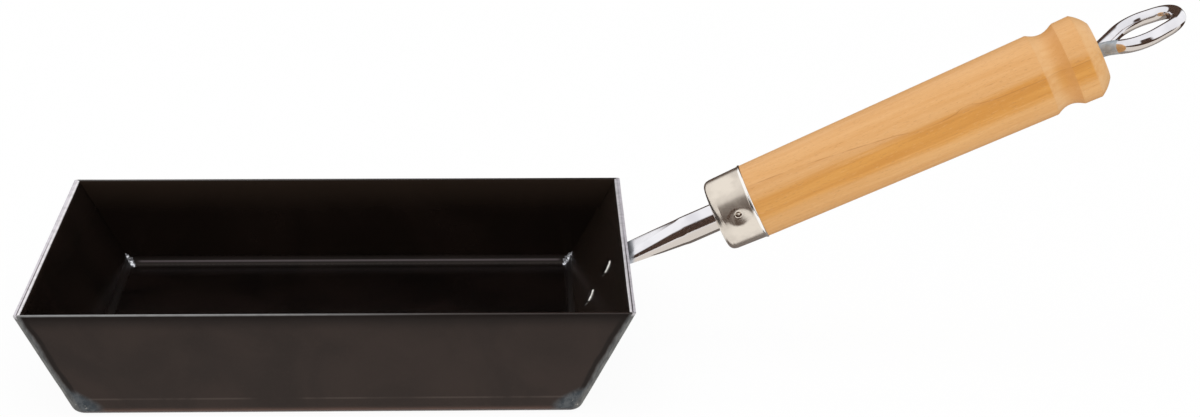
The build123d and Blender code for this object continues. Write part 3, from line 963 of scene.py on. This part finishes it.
wood = {
    "top": ((229, 175, 114), (222, 165, 101)), "under": ((230, 176, 110), (222, 164, 96)),
    "heart": ((226, 161, 76), (215, 147, 62)), "line": (176, 112, 48), "fleck": (186, 128, 70),
    "ray": (244, 206, 158), "grooveShade": (212, 148, 76), "cut": (232, 184, 126), "low": (214, 156, 88),
    # noises, drawn out along the grip: scales, detail, roughness, warp, shift
    "slowNoise": ((0.014, 0.10, 0.10), 3, 0.5), "fibreNoise": ((0.03, 1.1, 1.1), 4, 0.6),
    "streakNoise": ((0.018, 0.55, 0.55), 5, 0.65, 0.0, (5, 2, 9)), "fineNoise": ((0.10, 3.2, 3.2), 3, 0.6),
    "breakNoise": ((0.09, 0.3, 0.3), 2), "fleckNoise": ((0.6, 4.2, 4.2), 1, 0.4),
    "rayNoise": ((0.5, 3.0, 3.0), 1, 0.4, 0.0, (11, 3, 7)),
    # broad bands, by height above the grip's middle, which slow and fibre noise warp
    "slowWarp": 5.0, "fibreWarp": 3.4, "streakSpan": (0.35, 0.7), "heartStreaks": (0.35, 0.65),
    "topSpan": (1.0, 6.0), "heartUp": (-5.4, -1.6), "heartDown": (3.0, 6.5, 1, 0),
    "heartAlong": (0.02, 0.35, 0.8, 1.0), "lowSpan": (-13.5, -8.5, 0.8, 0),
    # where the dark grain line runs: shares of the grip's length and of its height
    "lineHeight": 8.5, "lineWarp": 1.2,
    "lineShares": [(0.0, 1.0), (0.124, 0.96), (0.247, 0.85), (0.40, 0.66), (0.533, 0.447), (0.583, 0.494),
                   (0.617, 0.595), (0.658, 0.494), (0.72, 0.41), (1.0, 0.38)],
    "breakSpan": (0.38, 0.6), "wholeSpan": (0.56, 0.68, 0, 0.9), "threadSpan": (0.05, 0.26, 0.5, 0),
    "shadowUp": (-2.4, -0.1, 0, 0.12), "shadowDown": (0.0, 0.3, 1, 0), "frontSpan": (2, 6, 1, 0),
    "fineSpan": (0.45, 0.8, 0, 0.35), "fleckSpan": (0.63, 0.72, 0, 0.40), "raySpan": (0.64, 0.74, 0, 0.14),
    # painted highlight where the cove and the chamfer face the light, painted shade in the groove beside the
    # cap
    "cutStart": (-0.1, 0.6), "cutEnd": (1.5, -2.5), "chamferHighlight": (-0.2, 0.8),
    "cutStreaks": (0.3, 0.7, 0.75, 0.45), "grooveShadeStart": (2.0, -0.6), "grooveShadeEnd": (-0.05, 0.15),
    "grooveShadeFibres": (0.3, 0.7, 0.65, 0.85), "rough": (0.3, 0.7, 0.42, 0.52), "fibreBump": 0.5,
    "bump": (0.02, 0.35), "ior": 1.45, "coat": 0.12, "coatRough": 0.3,
}


class WoodBoard(Board):
    # the grip's material, with its own axes along the handle and the noises of its grain
    def __init__(self, name):
        shift = (-handleWay.dot(bendPoint), 0, -handleUp.dot(bendPoint))
        super().__init__(name, (0, handleTurn, 0), shift)
        self.distance, self.across, self.height = self.split(self.where)
        self.share = self.maths("DIVIDE", self.minus(self.distance, ferruleBack), grip["length"])
        self.slow, self.fibres = self.cloud(*wood["slowNoise"]), self.cloud(*wood["fibreNoise"])
        self.streaks = self.cloud(*wood["streakNoise"])
        fibreWarp = self.swing(self.fibres, wood["fibreWarp"])
        warp = self.plus(self.swing(self.slow, wood["slowWarp"]), fibreWarp)
        self.level = self.plus(self.height, warp)


def bandColour(board):
    # pale above, orange heart, pale below
    top, under = (board.mottle(board.streaks, wood["streakSpan"], wood[name]) for name in ("top", "under"))
    colour = board.blend(board.span(board.level, *wood["topSpan"]), under, top)
    heart = board.times(*(board.span(board.level, *wood[name]) for name in ("heartUp", "heartDown")),
                        board.span(board.share, *wood["heartAlong"]))
    return board.blend(heart, colour, board.mottle(board.streaks, wood["heartStreaks"], wood["heart"]))


def grainLine(board, colour):
    # one dark line on the near side, broken in places, with a faint shadow below it
    curve = board.add("ShaderNodeFloatCurve")
    points = curve.mapping.curves[0].points
    points[0].location, points[1].location = wood["lineShares"][0], wood["lineShares"][-1]
    for spot in wood["lineShares"][1:-1]:
        points.new(*spot)
    curve.mapping.update()
    board.put(curve.inputs["Value"], board.share)
    lift = board.minus(board.height, board.times(curve.outputs[0], wood["lineHeight"]))
    lift = board.plus(lift, board.swing(board.slow, wood["lineWarp"]))
    seen = board.span(board.cloud(*wood["breakNoise"]), *wood["breakSpan"])
    seen = board.larger(seen, board.span(board.share, *wood["wholeSpan"]))
    thread = board.times(board.span(board.maths("ABSOLUTE", lift), *wood["threadSpan"]), seen)
    shadow = board.times(board.span(lift, *wood["shadowUp"]), board.span(lift, *wood["shadowDown"]))
    front = board.span(board.across, *wood["frontSpan"])
    return board.blend(board.times(board.larger(thread, shadow), front), colour, wood["line"])


def cutColour(board, colour):
    # painted highlight on the cove's side towards the ferrule and on the butt's chamfer, painted shade in
    # the groove beside the cap
    def along(place, span):
        return board.span(board.distance, place + span[0], place + span[1])

    (cutLow, cutHigh), (grooveLow, grooveHigh) = wood["cutEnd"], wood["grooveShadeStart"]
    fading = board.span(board.distance, coveStart + cutLow, capStart + cutHigh, 1, 0)
    pale = board.times(along(coveStart, wood["cutStart"]), fading)
    pale = board.larger(pale, along(butt - grip["buttRound"], wood["chamferHighlight"]))
    pale = board.times(pale, board.span(board.streaks, *wood["cutStreaks"]))
    colour = board.blend(pale, colour, wood["cut"])
    deepening = board.span(board.distance, coveStart + grooveLow, capStart + grooveHigh)
    ending = board.span(board.distance, *(capStart + place for place in wood["grooveShadeEnd"]), 1, 0)
    grooveShade = board.times(deepening, ending, board.span(board.fibres, *wood["grooveShadeFibres"]))
    return board.blend(grooveShade, colour, wood["grooveShade"])


def woodFinish():
    board = WoodBoard("gripWood")
    colour = grainLine(board, bandColour(board))
    # fine fibres, flecks and rays
    fine = board.span(board.cloud(*wood["fineNoise"]), *wood["fineSpan"])
    colour = board.blend(fine, colour, wood["heart"][1])
    flecks = board.span(board.cloud(*wood["fleckNoise"]), *wood["fleckSpan"])
    colour = board.blend(flecks, colour, wood["fleck"])
    rays = board.span(board.cloud(*wood["rayNoise"]), *wood["raySpan"])
    colour = cutColour(board, board.blend(rays, colour, wood["ray"]))
    # painted shade: darker along the grip's underside
    colour = board.blend(board.span(board.level, *wood["lowSpan"]), colour, wood["low"])
    board.bump(board.minus(board.times(board.fibres, wood["fibreBump"]), flecks), *wood["bump"])
    return board.finish(Base_Color=colour, Roughness=board.span(board.streaks, *wood["rough"]),
                        IOR=wood["ior"], Coat_Weight=wood["coat"], Coat_Roughness=wood["coatRough"])


addPiece("gripTurned", buildGrip(), [woodFinish()], ["wooden_grip"], 24)
print("grip made")


# Insert in the tube's inner end, hidden in the grip
insert = {
    "length": 10.0, "flange": 0.8, "bore": 4.7, "boreInset": 0.02, "body": 7.0, "thread": 0.12,
    "threadSteps": 20, "chamfer": 0.3, "seat": 0.01, "edge": 0.12, "rounded": 0.15, "segments": 48,
    "noise": (0.7, 3, 0.6), "spread": (0.35, 0.7), "colours": ((176, 176, 178), (150, 148, 144)),
    "bump": (0.02, 0.4), "metallic": 1.0, "rough": (0.3, 0.7, 0.3, 0.42),
}


def buildInsert():
    end, start, flangeEnd = (shank["tubeEnd"] + shift for shift in (0, -insert["length"], insert["flange"]))
    boreHalf = insert["bore"] / 2 - insert["boreInset"]
    bodyHalf, flangeHalf = insert["body"] / 2, shank["tube"] / 2
    chamfer, edge, rounded, seat = (insert[name] for name in ("chamfer", "edge", "rounded", "seat"))
    line = [(start, boreHalf), (start, bodyHalf - chamfer)]
    for k in range(1, insert["threadSteps"]):
        distance = start + chamfer + (insert["length"] - 2 * chamfer) * k / insert["threadSteps"]
        line.append((distance, bodyHalf - insert["thread"] * (k % 2)))
    line += [(end + seat, bodyHalf), (end + seat, flangeHalf - rounded), (end + edge, flangeHalf)]
    line += [(flangeEnd - edge, flangeHalf), (flangeEnd, flangeHalf - rounded), (flangeEnd, boreHalf)]
    return skinOver(turned(line, roundTurns(insert["segments"])), closed=True)


insertSteel = mottledMetal("insertSteel", insert)
addPiece("insertThreaded", buildInsert(), [insertSteel], ["shank_insert"])
print("insert made")


# Hanging eye: one rod, its loop brought back beside its stem
eye = {
    "rod": 4.69, "length": 30.02, "width": 25.7, "shift": 2.2, "drop": 0.35, "neck": 2.2, "end": (-0.4, 0.9),
    # shape of the loop, as shares of its length and half width
    "widest": 0.45, "bulge": 1.14, "farWidth": 0.67, "rounds": (0.99, 0.78, 0.78, 0.99, 0.52),
    "zincStart": 6.6, "around": 64, "step": 0.3,
}
zinc = {"noise": (0.6, 3, 0.6), "spread": (0.35, 0.7), "colours": ((158, 170, 180), (178, 188, 197)),
        "bump": (0.02, 0.3), "metallic": 0.2, "rough": (0.3, 0.7, 0.34, 0.42)}


def eyeLine():
    # from the rod's end at the butt round the loop and down the stem
    loopLength, half = eye["length"] - eye["rod"] / 2, (eye["width"] - eye["rod"]) / 2
    farEnd, widest = butt + loopLength, butt + loopLength * eye["widest"]
    shift, bulge, farWidth = eye["shift"], half * eye["bulge"], half * eye["farWidth"]
    points = [(butt + eye["end"][0], eye["end"][1]), (widest, shift + bulge),
              (farEnd, shift + farWidth), (farEnd, shift - farWidth), (widest, shift - bulge),
              (butt + eye["neck"], 0), (butt - eye["neck"], 0)]
    line = roundedLine(points, [half * share for share in eye["rounds"]], eye["step"])
    return line + [Vector((shank["tubeEnd"] - insert["length"], 0))]


def buildEye():
    line, radius = eyeLine(), eye["rod"] / 2
    rings = []
    for k, point in enumerate(line):
        way = wayAlong(line, k)
        square = Vector((-way.y, way.x))
        ring = []
        for turn in roundTurns(eye["around"]):
            spot = point + square * (radius * cos(turn))
            ring.append(onHandle(spot.x, spot.y, radius * sin(turn) - eye["drop"]))
        rings.append(ring)
    # the zinc starts where the line comes back to the butt for the last time
    lastFar = max(k for k, point in enumerate(line) if point.x > butt + eye["zincStart"])
    return *skinOver(rings), lastFar * eye["around"]


eyeFinishes = [chromeFinish("eye"), mottledMetal("zincStem", zinc)]
eyeRod = addPiece("hangingEyeRod", buildEye(), eyeFinishes, ["hanging_eye"], 60)
print("hanging eye made:", sum(face.material_index for face in eyeRod.data.polygons), "zinc faces")


# Floor: plain paper, lit as it is but nearly pure white where the camera or a mirror sees it; in metres
floorFacts = {"size": 6.0, "drop": 0.0003, "whiteShare": 0.95, "albedo": 0.97}


def addStage(name, mesh, finish):
    # something beside the part
    mesh.materials.append(finish)
    thing = bpy.data.objects.new(name, mesh)
    bpy.context.scene.collection.objects.link(thing)
    return thing


def paperFinish():
    board = Board("floorPaper")
    board.finish(Base_Color=(floorFacts["albedo"],) * 3 + (1,), Roughness=1.0, Specular_IOR_Level=0.0)
    ray = board.add("ShaderNodeLightPath").outputs
    mirrored = board.plus(ray["Is Glossy Ray"], ray["Is Transmission Ray"])
    seen = board.maths("ADD", ray["Is Camera Ray"], mirrored, clamp=True)
    white, mix = board.add("ShaderNodeEmission"), board.add("ShaderNodeMixShader")
    share = board.times(seen, floorFacts["whiteShare"])
    for socket, value in zip(mix.inputs, (share, board.shader.outputs[0], white.outputs[0])):
        board.put(socket, value)
    board.put(board.surface, mix.outputs[0])
    return board.material


def buildFloor():
    half = floorFacts["size"] / 2
    corners = [(x * half, y * half, -floorFacts["drop"]) for x, y in ((-1, -1), (1, -1), (1, 1), (-1, 1))]
    mesh = bpy.data.meshes.new("floorPlain")
    mesh.from_pydata(corners, [], [(0, 1, 2, 3)])
    addStage("floorPlain", mesh, paperFinish())


buildFloor()
print("floor made")


# Studio: a white tent, and dark flags that only reflections see, for crisp edges on the metal
studio = {"sky": 0.86, "cloth": ((76, 60, 51), (84, 66, 56)), "weave": (0.4, 2)}
flags = {
    # corners of each flag; each fade is a share of x, a share of z, and where their sum starts and ends it
    "front_low": {"x": (-900, 1300), "y": (-1300, -165), "z": (4, 4), "fades": []},
    "front": {"x": (-1600, 1300), "y": (-1300, -1300), "z": (4, 1700),
              "fades": [(0, 1, 1000, 1600), (1, 0.5, 540, 900), (-1, -0.5, 60, 320)]},
    "back_low": {"x": (-500, 1200), "y": (80, 300), "z": (4, 4), "fades": []},
    "back": {"x": (-500, 1200), "y": (300, 300), "z": (4, 1400),
             "fades": [(-1.2, 1, 70, 190), (1, 0, 385, 450)]},
    "under_handle": {"x": (112, 900), "y": (-3, 80), "z": (4, 4), "fades": [(1, 0, -90, 780)]},
}


def buildWorld():
    # full white where it is seen or mirrored, a little darker as light on dull surfaces
    world = bpy.data.worlds.new("studioLight")
    bpy.context.scene.world = world
    world.use_nodes = True
    tree = world.node_tree
    mix = tree.nodes.new("ShaderNodeMix")
    mix.data_type = "RGBA"
    tree.links.new(tree.nodes.new("ShaderNodeLightPath").outputs["Is Diffuse Ray"], mix.inputs[0])
    mix.inputs[6].default_value = (1, 1, 1, 1)
    mix.inputs[7].default_value = (studio["sky"],) * 3 + (1,)
    tree.links.new(mix.outputs[2], tree.nodes["Background"].inputs["Color"])


def flagFinish(name, fades):
    board = Board("flagCloth_" + name)
    board.finish(Base_Color=board.blend(board.cloud(*studio["weave"]), *studio["cloth"]), Roughness=1.0,
                 Specular_IOR_Level=0.0)
    if fades:
        x, y, z = board.split(board.where)
        seen = 1.0
        for shareX, shareZ, first, last in fades:
            level = board.plus(board.times(x, shareX), board.times(z, shareZ))
            seen = board.times(seen, board.span(level, first, last, 1, 0))
        board.finish(Alpha=seen)
    return board.material


def buildFlag(name, facts):
    (x0, x1), (y0, y1), (z0, z1) = facts["x"], facts["y"], facts["z"]
    corners = [(x0, y0, z0), (x1, y0, z0), (x1, y1, z1), (x0, y1, z1)]
    mesh = bpy.data.meshes.new("flag_" + name)
    mesh.from_pydata([Vector(c) * mm for c in corners], [], [(0, 1, 2, 3)])
    flag = addStage("flag_" + name, mesh, flagFinish(name, facts["fades"]))
    flag.visible_camera = flag.visible_diffuse = flag.visible_shadow = False


buildWorld()
for name, facts in flags.items():
    buildFlag(name, facts)
print("tent and flags made:", len(flags))


# Lamps and camera; lamps in metres and watts
lamps = {
    "fill": {"place": (0.10, -1.3, 0.9), "size": 0.9, "power": 2.5},
    "top": {"place": (-0.25, 0.15, 1.3), "size": 0.8, "power": 2.0},
}
lampAim = Vector((0.08, 0, 0.04))
view = {"place": (55.6, -853.4, 344.3), "pitch": 19.354, "yaw": 2.03, "roll": -0.45, "lens": 83.08,
        "sensor": 36, "clip": (0.05, 50)}


def addLamp(name, facts):
    data = bpy.data.lights.new(name + "Lamp", "AREA")
    data.shape = "DISK"
    data.size = facts["size"]
    data.energy = facts["power"]
    lamp = bpy.data.objects.new(name + "Lamp", data)
    lamp.location = facts["place"]
    lamp.rotation_euler = (lampAim - lamp.location).to_track_quat("-Z", "Y").to_euler()
    lamp.visible_glossy = lamp.visible_camera = False
    bpy.context.scene.collection.objects.link(lamp)


def addCamera():
    data = bpy.data.cameras.new("photoCamera")
    data.lens, data.sensor_width = view["lens"], view["sensor"]
    data.clip_start, data.clip_end = view["clip"]
    camera = bpy.data.objects.new("photoCamera", data)
    pitch, yaw, roll = (radians(view[name]) for name in ("pitch", "yaw", "roll"))
    forward = Vector((sin(yaw) * cos(pitch), cos(yaw) * cos(pitch), -sin(pitch)))
    right = forward.cross(upward).normalized()
    top = right.cross(forward)
    rolledRight = right * cos(roll) - top * sin(roll)
    rolledTop = right * sin(roll) + top * cos(roll)
    turn = Matrix((rolledRight, rolledTop, -forward)).transposed()
    camera.matrix_world = Matrix.Translation(Vector(view["place"]) * mm) @ turn.to_4x4()
    bpy.context.scene.collection.objects.link(camera)
    bpy.context.scene.camera = camera


for name, facts in lamps.items():
    addLamp(name, facts)
addCamera()
bpy.context.scene.view_settings.view_transform = "Standard"
print("lamps and camera set")
